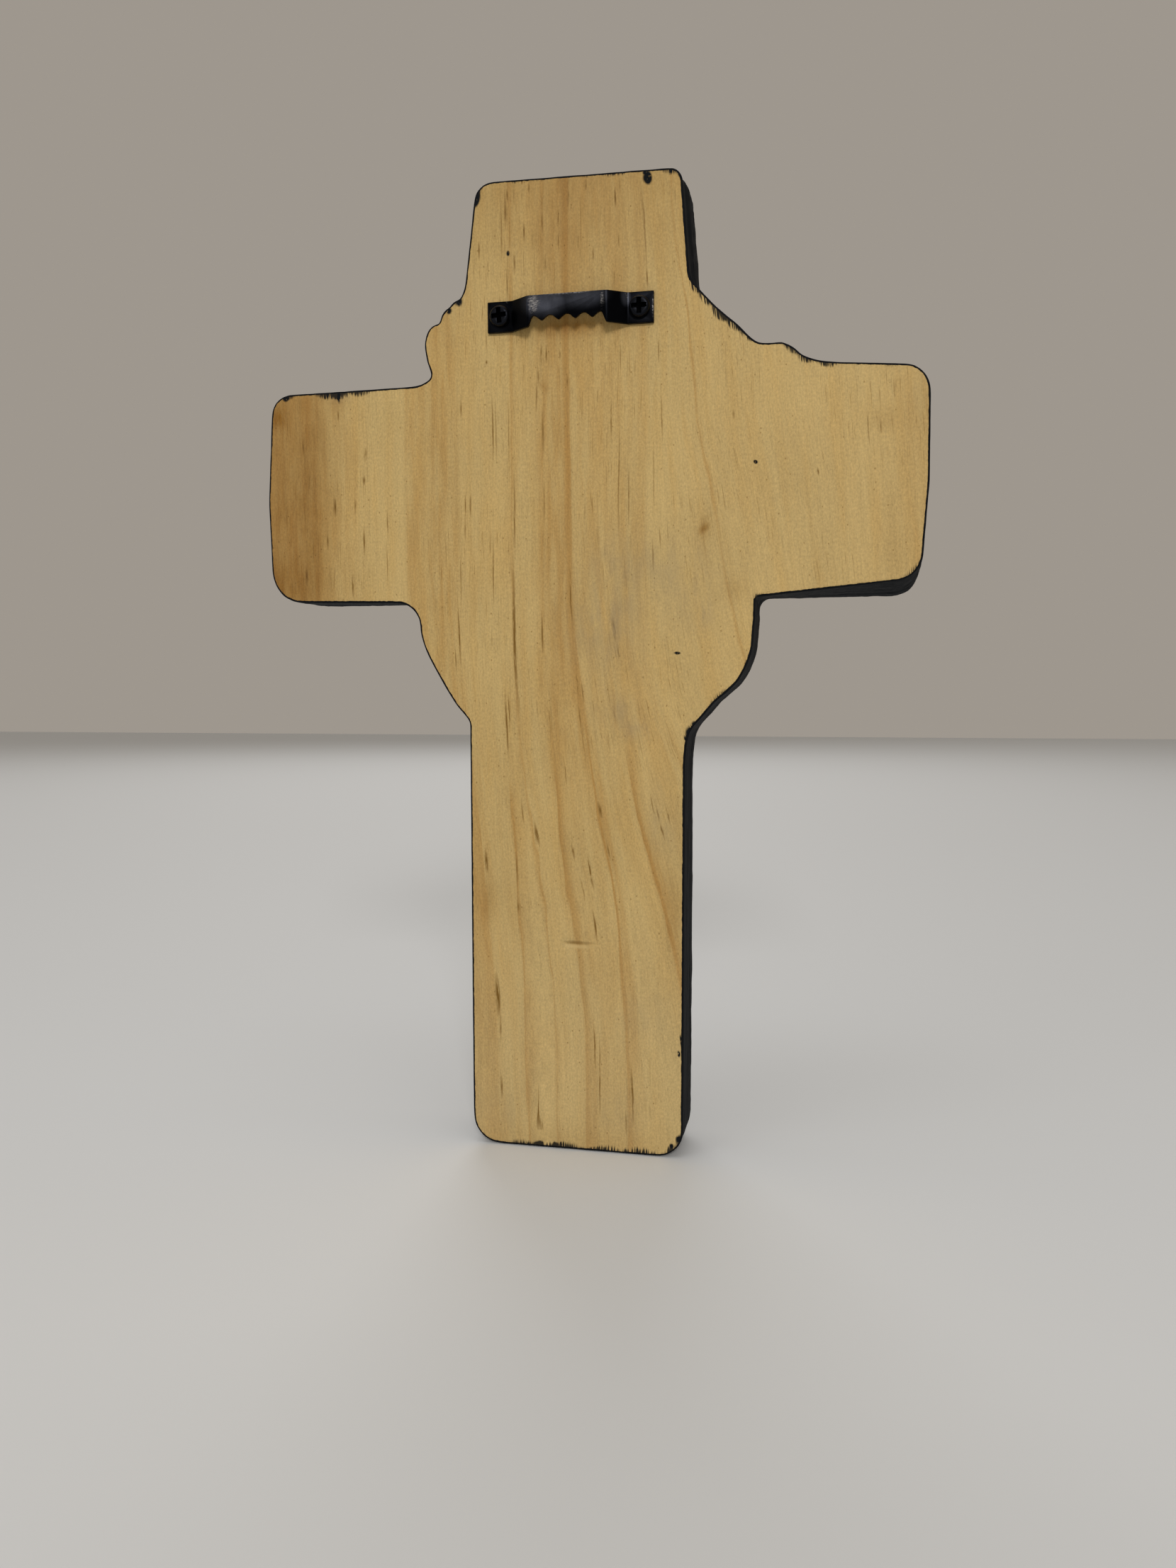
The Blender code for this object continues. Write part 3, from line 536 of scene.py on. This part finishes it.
def shape_board():
    """The board with its relief, and with what its finish reads at each point.

    `edge` is how far in from the outline a point of the back lies, and below 0 on the walls. `grain` is its
    label, and the others say how strongly the paint, the stains with their painted shade, and the smudges
    show there.
    """
    board = mesh_board()
    points = points_of(board)
    starts, ends = section(board, BACK_Y - OUTLINE_DEPTH)
    flat_back = points[:, 1] > BACK_Y - 4 * HAIR
    edge = np.minimum(points[:, 1] - BACK_Y, 0)
    edge[flat_back] = distance_to_outline(points[flat_back][:, [0, 2]], starts, ends)
    across = -points[:, 0] / MM
    up = points[:, 2] / MM
    store(board, "edge", edge / MM)
    store(board, "grain", grain_label(across, up))
    crept = [(place, height, reach, reach, length) for place, height, reach, length in BLEEDS]
    store(board, "bleed", spots(across, up, crept, np.maximum))
    store(board, "stain_and_shade", spots(across, up, STAINS_AND_PAINTED_SHADE))
    store(board, "grey", spots(across, up, GREY_SMUDGES))

    normals = [Vector(vertex.normal) for vertex in board.data.vertices]
    moved = [Vector(p) + n * relief(p, e) for p, n, e in zip(points.tolist(), normals, edge)]
    board.data.vertices.foreach_set("co", np.array(moved, np.float32).ravel())
    board.data.update()
    smooth_piece(board, 50)
    return board


def shape_strip():
    """The bent strip with its arrises rounded, and its tabs let down onto the wood."""
    strip = start_from_node("sawtooth_hanger", "bent_strip")
    bpy.ops.mesh.dissolve_limited(angle_limit=math.radians(0.5))
    bpy.ops.object.mode_set(mode="OBJECT")
    for vertex in strip.data.vertices:
        if vertex.co.y < STRIP_LOW.y + FLAT_REACH:
            vertex.co.y = BACK_Y
    sharp = math.radians(38)
    apply_modifier(strip, "BEVEL", width=STRIP_EDGE, segments=3, limit_method="ANGLE", angle_limit=sharp)
    smooth_piece(strip, 40)
    return strip


def cross_cutter(x, y, z, turn):
    """The tapered cross that cuts a head's recess, with its wide end outside the head."""
    arms = []
    for quarter in (0, math.pi / 2):
        clear_bench()
        bpy.ops.mesh.primitive_cube_add(size=1, location=(x, y, z), rotation=(0, turn + quarter, 0))
        arm = bpy.context.object
        arm.scale = (RECESS_SPAN, 2 * RECESS_DEPTH, RECESS_SLOT)
        bpy.ops.object.transform_apply(location=True, rotation=True, scale=True)
        for vertex in arm.data.vertices:
            if vertex.co.y < y:
                vertex.co.x = x + (vertex.co.x - x) * RECESS_TAPER
                vertex.co.z = z + (vertex.co.z - z) * RECESS_TAPER
        arms.append(arm)
    apply_modifier(arms[0], "BOOLEAN", object=arms[1], operation="UNION", solver="EXACT")
    bpy.data.objects.remove(arms[1])
    return arms[0]


def shape_screw(side):
    """A pan head with a cross recess, on a plain shank with a point."""
    low, high = SCREW_BOXES[side]
    x = (low.x + high.x) / 2
    z = (low.z + high.z) / 2
    head_radius = (high.x - low.x) / 2
    seat_y = STRIP_LOW.y + STRIP_THICKNESS
    clear_bench()
    bpy.ops.mesh.primitive_cylinder_add(
        vertices=SCREW_SIDES,
        radius=head_radius,
        depth=high.y - seat_y,
        location=(x, (high.y + seat_y) / 2, z),
        rotation=(math.pi / 2, 0, 0),
    )
    screw = bpy.context.object
    screw.name = "pan_head_screw_" + side
    bpy.ops.object.transform_apply(location=True, rotation=True, scale=True)
    bpy.ops.object.mode_set(mode="EDIT")
    pick_faces(screw, lambda face: face.normal.y > 0.9)
    bpy.ops.mesh.bevel(offset=CROWN, offset_type="OFFSET", segments=7, profile=0.5, affect="EDGES")
    pick_faces(screw, lambda face: face.normal.y < -0.9)
    bpy.ops.mesh.inset(thickness=head_radius - SHANK_RADIUS)
    bpy.ops.mesh.extrude_region_move(TRANSFORM_OT_translate={"value": (0, -SHANK_LENGTH, 0)})
    bpy.ops.mesh.extrude_region_move(TRANSFORM_OT_translate={"value": (0, -POINT_LENGTH, 0)})
    bpy.ops.mesh.merge(type="COLLAPSE")
    bpy.ops.object.mode_set(mode="OBJECT")
    cutter = cross_cutter(x, high.y, z, math.radians(SCREW_TURNS[side]))
    apply_modifier(screw, "BOOLEAN", object=cutter, operation="DIFFERENCE", solver="EXACT")
    bpy.data.objects.remove(cutter)
    sharp = math.radians(45)
    apply_modifier(screw, "BEVEL", width=RECESS_EDGE, segments=2, limit_method="ANGLE", angle_limit=sharp)
    smooth_piece(screw, 40)
    return screw


class Finish:
    """A material built node by node, from the pattern's place to the shader."""

    def __init__(self, name, **plain_values):
        self.material = bpy.data.materials.new(name)
        self.material.use_nodes = True
        self.nodes = self.material.node_tree.nodes
        self.shader = self.nodes["Principled BSDF"]
        for socket, value in plain_values.items():
            self.shader.inputs[socket.replace("_", " ")].default_value = value

    def feed(self, socket, value):
        if isinstance(value, bpy.types.NodeSocket):
            self.material.node_tree.links.new(value, socket)
        elif value is not None:
            socket.default_value = value

    def node(self, kind, sockets, **settings):
        made = self.nodes.new("ShaderNode" + kind)
        for name, value in settings.items():
            setattr(made, name, value)
        for socket, value in sockets.items():
            self.feed(made.inputs[socket], value)
        return made

    def maths(self, operation, *values, clamp=False):
        return self.node("Math", dict(enumerate(values)), operation=operation, use_clamp=clamp).outputs[0]

    def vector(self, operation, *values, out="Vector"):
        return self.node("VectorMath", dict(enumerate(values)), operation=operation).outputs[out]

    def attribute(self, name):
        return self.node("Attribute", {}, attribute_name=name).outputs["Fac"]

    def place(self):
        """The surface's own place in millimetres."""
        return self.vector("SCALE", self.node("TexCoord", {}).outputs["Object"], None, None, 1 / MM)

    def noise(self, place, stretch, detail=2.0, roughness=0.5):
        """Noise from 0 to 1 whose lumps are about `stretch` millimetres across."""
        shrink = [1 / size for size in stretch]
        scaled = self.vector("MULTIPLY", place, shrink)
        sockets = {"Vector": scaled, "Scale": 1.0, "Detail": detail, "Roughness": roughness}
        return self.node("TexNoise", sockets).outputs["Fac"]

    def step(self, value, low, high):
        """Rises smoothly from 0 at `low` to 1 at `high`."""
        sockets = {"Value": value, "From Min": low, "From Max": high}
        return self.node("MapRange", sockets, interpolation_type="SMOOTHSTEP").outputs["Result"]

    def blend(self, share, first, second, kind="MIX"):
        """Two colours, which a Mix node takes in its sockets 6 and 7. Numbers go in 2 and 3."""
        made = self.nodes.new("ShaderNodeMix")
        made.data_type = "RGBA"
        made.blend_type = kind
        for socket, value in zip((made.inputs[0], made.inputs[6], made.inputs[7]), (share, first, second)):
            self.feed(socket, value if not isinstance(value, tuple) else (*value, 1.0))
        return made.outputs[2]

    def ramp(self, value, stops):
        """Reads a brightness off given stops (place, brightness), in rising order."""
        low, high = stops[0][0], stops[-1][0]
        share = self.node("MapRange", {"Value": value, "From Min": low, "From Max": high}).outputs["Result"]
        made = self.node("ValToRGB", {"Fac": share})
        elements = made.color_ramp.elements
        for count, (place, brightness) in enumerate(stops):
            position = (place - low) / (high - low)
            element = elements[count] if count < 2 else elements.new(position)
            element.position = position
            element.color = (brightness, brightness, brightness, 1.0)
        return made.outputs["Color"]

    def bump(self, height, strength, distance):
        sockets = {"Height": height, "Strength": strength, "Distance": distance}
        self.feed(self.shader.inputs["Normal"], self.node("Bump", sockets).outputs["Normal"])

    def paint(self, colour, roughness):
        self.feed(self.shader.inputs["Base Color"], colour)
        self.feed(self.shader.inputs["Roughness"], roughness)
        return self.material


def streak_label(across, up):
    """The grain's label at one place."""
    return float(grain_label(np.array([across]), np.array([up]))[0])


def streaks(finish, grain_place, marks):
    """Narrow ellipses along the grain, each strongest in its middle."""
    total = None
    for across, up, width, length, strength in marks:
        label = streak_label(across, up)
        spread = streak_label(across + 0.5, up) - streak_label(across - 0.5, up)
        half_width = MARK_WIDTH * width * spread
        half_length = MARK_LENGTH * length
        shrink = (1 / half_width, 0.0, 1 / half_length)
        shift = (-label / half_width, 0.0, -up / half_length)
        reach = finish.vector("MULTIPLY_ADD", grain_place, shrink, shift)
        far = finish.vector("LENGTH", reach, out="Value")
        mark = finish.maths("MULTIPLY_ADD", far, -strength, strength, clamp=True)
        total = mark if total is None else finish.maths("MAXIMUM", total, mark)
    return total


def swaying_grain(finish, place):
    """The place as the wood has it: the grain's label, the depth, and the height."""
    split = finish.node("SeparateXYZ", {0: place})
    sway = finish.maths("MULTIPLY_ADD", finish.noise(place, SWAY), 1.8, -0.9)
    tremble = finish.maths("MULTIPLY_ADD", finish.noise(place, TREMBLE), 0.5, -0.25)
    grain = finish.maths("ADD", finish.attribute("grain"), finish.maths("ADD", sway, tremble))
    up = split.outputs["Z"]
    return grain, up, finish.node("CombineXYZ", {0: grain, 1: split.outputs["Y"], 2: up}).outputs[0]


def growth_bands(finish, grain, up, grain_place):
    """Pale and deep bands across the grain, with patches of resin, and painted light that pales them towards
    the foot.
    """
    upper = finish.ramp(grain, UPPER_BANDS)
    lower = finish.ramp(grain, LOWER_BANDS)
    tone = finish.blend(finish.step(up, *CROSSING_STARTS), lower, upper)
    thin_lines = finish.step(tone, 0.45, 0.75)
    patches = finish.step(finish.noise(grain_place, BAND_PATCHES, 2), 0.32, 0.68)
    patchy = finish.maths("MAXIMUM", finish.maths("MULTIPLY_ADD", patches, 0.70, 0.38), thin_lines)
    colour = finish.blend(finish.maths("MULTIPLY", tone, patchy), LIGHT_PINE, DEEP_PINE)
    resin = finish.step(finish.noise(grain_place, RESIN_PATCHES, 3), 0.42, 0.66)
    colour = finish.blend(finish.maths("MULTIPLY", resin, 0.6), colour, AMBER_TINT, "MULTIPLY")
    # painted light: the wood is made paler towards the foot
    lit_foot = finish.maths("MULTIPLY", finish.step(up, *FOOT_STARTS), 0.28)
    return finish.blend(lit_foot, colour, FOOT_PAINTED_LIGHT_PINE)


def wood_shade(finish, place, grain_place, fibres, grit):
    """How light each place is, from its fibres, strands, grit and soft clouds."""
    shade = finish.maths("MULTIPLY_ADD", fibres, 0.38, 0.265)
    shade = finish.maths("MULTIPLY_ADD", finish.noise(grain_place, STRANDS, 3, 0.6), 0.26, shade)
    shade = finish.maths("MULTIPLY_ADD", grit, 0.64, shade)
    return finish.maths("MULTIPLY_ADD", finish.noise(place, CLOUDS, 3), 0.22, shade)


def dark_grain(finish, place, up, grain_place):
    """The placed streaks, broken up along their length, and fine dashes between them."""
    sparse = finish.step(finish.noise(place, DASH_FIELDS, 1), 0.34, 0.60)
    dashes = finish.step(finish.noise(grain_place, DASHES, 1), 0.59, 0.74)
    fewer = finish.maths("MULTIPLY_ADD", finish.step(up, *CROSSING_STARTS), 0.26, 0.18)
    dashes = finish.maths("MULTIPLY", finish.maths("MULTIPLY", dashes, sparse), fewer)
    broken = finish.step(finish.noise(grain_place, STREAK_BREAKS, 2), 0.28, 0.50)
    placed = finish.maths("MULTIPLY", streaks(finish, grain_place, STREAKS), broken)
    return finish.maths("MAXIMUM", finish.maths("MULTIPLY", placed, 1.5, clamp=True), dashes)


def pore_specks(finish, place):
    """Small dark specks, at some of the pores."""
    spread = finish.vector("MULTIPLY", place, PORE_SPACING)
    pores = finish.node("TexVoronoi", {"Vector": spread, "Scale": 1.0})
    speck = finish.step(pores.outputs["Distance"], 0.15, 0.07)
    chance = finish.node("SeparateColor", {0: pores.outputs["Color"]}).outputs[0]
    return finish.maths("MULTIPLY", finish.maths("MULTIPLY", speck, finish.step(chance, 0.60, 0.75)), 0.55)


def stains_and_painted_shade(finish, place, colour):
    """Brown stains with painted shade among them, and grey smudges, mottled."""
    mottle = finish.step(finish.noise(place, STAIN_MOTTLE, 3, 0.6), 0.25, 0.75)
    uneven = finish.maths("MULTIPLY_ADD", mottle, 0.4, 0.75)
    stain_and_shade = finish.maths("MULTIPLY", finish.attribute("stain_and_shade"), uneven, clamp=True)
    grey = finish.maths("MULTIPLY", finish.attribute("grey"), mottle, clamp=True)
    # stains, and painted shade below the hanger and over the top arm
    colour = finish.blend(stain_and_shade, colour, STAIN_AND_SHADE_BROWN, "MULTIPLY")
    return finish.blend(grey, colour, SMUDGE_GREY)


def pine_and_paint():
    """The board's finish: planed pine with its growth bands and marks, and black paint over every edge."""
    finish = Finish("bare_pine_and_black_paint", Specular_IOR_Level=BARE_GLOSS)
    place = finish.place()
    edge = finish.attribute("edge")
    grain, up, grain_place = swaying_grain(finish, place)
    fibres = finish.noise(grain_place, FIBRES, 3, 0.6)
    grit = finish.noise(place, GRIT, 2, 0.6)

    colour = growth_bands(finish, grain, up, grain_place)
    shade = wood_shade(finish, place, grain_place, fibres, grit)
    colour = finish.vector("SCALE", colour, None, None, shade)
    colour = finish.blend(dark_grain(finish, place, up, grain_place), colour, STREAK_AND_SHADOW_BROWN)
    colour = finish.blend(pore_specks(finish, place), colour, STREAK_AND_SHADOW_BROWN)
    colour = stains_and_painted_shade(finish, place, colour)

    specks = finish.maths("MULTIPLY", streaks(finish, grain_place, BLACK_MARKS), 1.6, clamp=True)
    torn = finish.step(finish.noise(place, TORN_RIMS, 3), 0.24, 0.42)
    inked = finish.maths("MULTIPLY", specks, torn)
    colour = finish.blend(inked, colour, WICKED_PAINT)
    # painted shadow along the dent's upper edge, and a painted highlight on its lower lip
    colour = finish.blend(streaks(finish, grain_place, [DENT_PAINTED_SHADOW]), colour, STREAK_AND_SHADOW_BROWN)
    colour = finish.blend(streaks(finish, grain_place, [DENT_PAINTED_HIGHLIGHT]), colour, DENT_HIGHLIGHT_PINE)

    ragged = finish.maths("MULTIPLY_ADD", finish.noise(place, RAGGED_LINE, 2), 0.36, PAINTED_LINE - 0.18)
    comb = finish.noise(grain_place, END_GRAIN_COMB, 1)
    comb = finish.maths("MULTIPLY_ADD", comb, 4.6, -1.55, clamp=True)
    wicked = finish.maths("ADD", ragged, finish.maths("MULTIPLY", finish.attribute("bleed"), comb))
    wick = finish.step(finish.maths("SUBTRACT", wicked, edge), 0.0, 1.5)
    wick = finish.maths("MULTIPLY", wick, 0.95)
    colour = finish.blend(wick, colour, WICKED_PAINT)
    painted = finish.step(finish.maths("SUBTRACT", ragged, edge), -0.05, 0.05)
    streaky = finish.noise(place, BRUSH_MARKS, 3, 0.6)
    colour = finish.blend(painted, colour, finish.blend(streaky, BLACK_PAINT, GREYED_PAINT))

    wood_roughness = finish.maths("MULTIPLY_ADD", fibres, 0.2, 0.52)
    paint_roughness = finish.maths("MULTIPLY_ADD", streaky, 0.30, 0.50)
    roughness = finish.node("Mix", {0: painted, 2: wood_roughness, 3: paint_roughness}).outputs[0]

    wood_grain = finish.maths("MULTIPLY_ADD", grit, 0.8, finish.maths("MULTIPLY", fibres, 0.7))
    dented = finish.maths("MULTIPLY_ADD", streaks(finish, grain_place, [DENT_MARK]), -7.0, wood_grain)
    lumps = finish.noise(place, PAINT_LUMPS, 3, 0.6)
    finish.bump(finish.node("Mix", {0: painted, 2: dented, 3: lumps}).outputs[0], 0.6, 0.00012)
    dull = finish.maths("MAXIMUM", painted, finish.maths("MAXIMUM", inked, wick))
    gloss = finish.node("Mix", {0: dull, 2: BARE_GLOSS, 3: PAINT_GLOSS}).outputs[0]
    finish.feed(finish.shader.inputs["Specular IOR Level"], gloss)
    return finish.paint(colour, roughness)


def soft_patches(finish, place, patches):
    """Soft-edged ellipses, each (across, up, half width, half height, strength)."""
    total = None
    for across, up, half_width, half_height, strength in patches:
        shrink = (1 / half_width, 0.0, 1 / half_height)
        shift = (across / half_width, 0.0, -up / half_height)
        far = finish.vector("LENGTH", finish.vector("MULTIPLY_ADD", place, shrink, shift), out="Value")
        patch = finish.maths("MULTIPLY", finish.step(far, 1.0, 0.25), strength)
        total = patch if total is None else finish.maths("MAXIMUM", total, patch)
    return total


def recess_shade(finish, place):
    """Painted shade: full down in the screws' recesses, and nothing on the heads round them."""
    near = None
    for low, high in SCREW_BOXES.values():
        middle = (low + high) / 2 / MM
        offset = finish.vector("MULTIPLY_ADD", place, (1.0, 0.0, 1.0), (-middle.x, 0.0, -middle.z))
        far = finish.vector("LENGTH", offset, out="Value")
        near = far if near is None else finish.maths("MINIMUM", near, far)
    top = SCREW_BOXES["left"][1].y / MM
    deep = finish.step(finish.node("SeparateXYZ", {0: place}).outputs["Y"], top - 0.15, top - 0.45)
    return finish.maths("MULTIPLY", deep, finish.step(near, 2.45, 2.30))


def worn_steel_with_painted_light(name, patches, sheens, seed, shaded_recesses=False):
    """Blackened steel, worn bright in patches, with painted highlights, glints and sheen in others.

    Each patch is (across, up, half width, half height, strength).
    """
    finish = Finish(name, Metallic=1.0)
    place = finish.place()
    cloudy = finish.noise(finish.vector("ADD", place, (seed, 0, 0)), (3.0, 3.0, 3.0), 4, 0.6)
    scratches = finish.noise(finish.vector("ADD", place, (0, seed, 0)), (0.9, 0.5, 0.3), 4, 0.7)
    # worn patches, and painted highlights and glints
    rubs_and_glints = soft_patches(finish, place, patches)
    broken = finish.step(finish.maths("ADD", scratches, finish.maths("MULTIPLY", rubs_and_glints, 0.26)), 0.56, 0.86)
    bright = finish.maths("MULTIPLY", broken, rubs_and_glints, clamp=True)
    even = finish.maths("MULTIPLY_ADD", cloudy, 0.6, 0.7)
    sheen = finish.maths("MULTIPLY", soft_patches(finish, place, sheens), even)
    # painted reflection: a blue-grey sheen in patches
    dark = finish.blend(sheen, BLACK_STEEL, SHEEN_AND_TONE_BLUE)
    colour = finish.blend(bright, dark, BARE_STEEL_AND_GLINT)
    if shaded_recesses:
        # painted shade in the screws' recesses
        colour = finish.blend(recess_shade(finish, place), colour, RECESS_PAINTED_SHADE)
    roughness = finish.maths("MULTIPLY_ADD", cloudy, 0.3, 0.22)
    uneven = finish.maths("MULTIPLY_ADD", cloudy, 0.7, finish.maths("MULTIPLY", scratches, 0.4))
    finish.bump(uneven, 0.35, 0.00008)
    return finish.paint(colour, roughness)


def finish_piece(piece, material, node):
    piece.data.materials.append(material)
    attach(piece, "root")
    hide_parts(node)


def lay_floor():
    """A pale floor that is clear from below, so that it never hides the cross from the camera."""
    clear_bench()
    bpy.ops.mesh.primitive_plane_add(size=FLOOR_SIZE, location=(0, 0, FOOT_Z - FLOOR_GAP))
    floor = bpy.context.object
    floor.name = "pale_floor"
    bpy.ops.object.transform_apply(location=True)
    finish = Finish("pale_floor", Roughness=0.6, Specular_IOR_Level=0.2)
    finish.shader.inputs["Base Color"].default_value = (*FLOOR_COLOUR, 1.0)
    clear = finish.node("BsdfTransparent", {})
    below = finish.node("NewGeometry", {}).outputs["Backfacing"]
    both = finish.node("MixShader", {0: below, 1: finish.shader.outputs[0], 2: clear.outputs[0]})
    finish.feed(finish.nodes["Material Output"].inputs["Surface"], both.outputs[0])
    floor.data.materials.append(finish.material)


def hang_light(name, place, size, power, colour):
    """A light that looks at the middle of the board."""
    lamp = bpy.data.lights.new(name, "AREA")
    lamp.size = size
    lamp.energy = power
    lamp.color = colour
    light = bpy.data.objects.new(name, lamp)
    light.location = place
    light.rotation_euler = (BOARD_MIDDLE - Vector(place)).to_track_quat("-Z", "Y").to_euler()
    bpy.context.scene.collection.objects.link(light)


def light_studio():
    world = bpy.data.worlds.new("soft_studio")
    world.use_nodes = True
    sky = world.node_tree.nodes["Background"]
    sky.inputs["Color"].default_value = (*SKY_COLOUR, 1.0)
    sky.inputs["Strength"].default_value = SKY_STRENGTH
    bpy.context.scene.world = world
    for light in LIGHTS:
        hang_light(*light)


def aim_camera():
    camera = bpy.data.cameras.new("camera")
    camera.sensor_width = SENSOR
    camera.lens = LENS
    camera.clip_start = NEAREST_SEEN
    holder = bpy.data.objects.new("camera", camera)
    level = VIEW_DIRECTION.to_track_quat("-Z", "Y")
    holder.location = CAMERA_PLACE
    holder.rotation_euler = (Quaternion(VIEW_DIRECTION, math.radians(CAMERA_ROLL)) @ level).to_euler()
    bpy.context.scene.collection.objects.link(holder)
    bpy.context.scene.camera = holder


def main():
    aim_camera()
    strip_steel = worn_steel_with_painted_light("blackened_strip_steel", RUBS_AND_PAINTED_GLINTS, PAINTED_SHEEN_PATCHES, 0.0)
    screw_steel = worn_steel_with_painted_light("blackened_screw_steel", SCREW_PAINTED_HIGHLIGHTS, SCREW_SHEEN, 40.0, shaded_recesses=True)
    finish_piece(shape_board(), pine_and_paint(), "cross_board")
    finish_piece(shape_strip(), strip_steel, "sawtooth_hanger")
    for side in ("left", "right"):
        finish_piece(shape_screw(side), screw_steel, "hanger_screw_" + side)
    lay_floor()
    light_studio()
    bpy.context.scene.view_settings.view_transform = "Standard"


main()
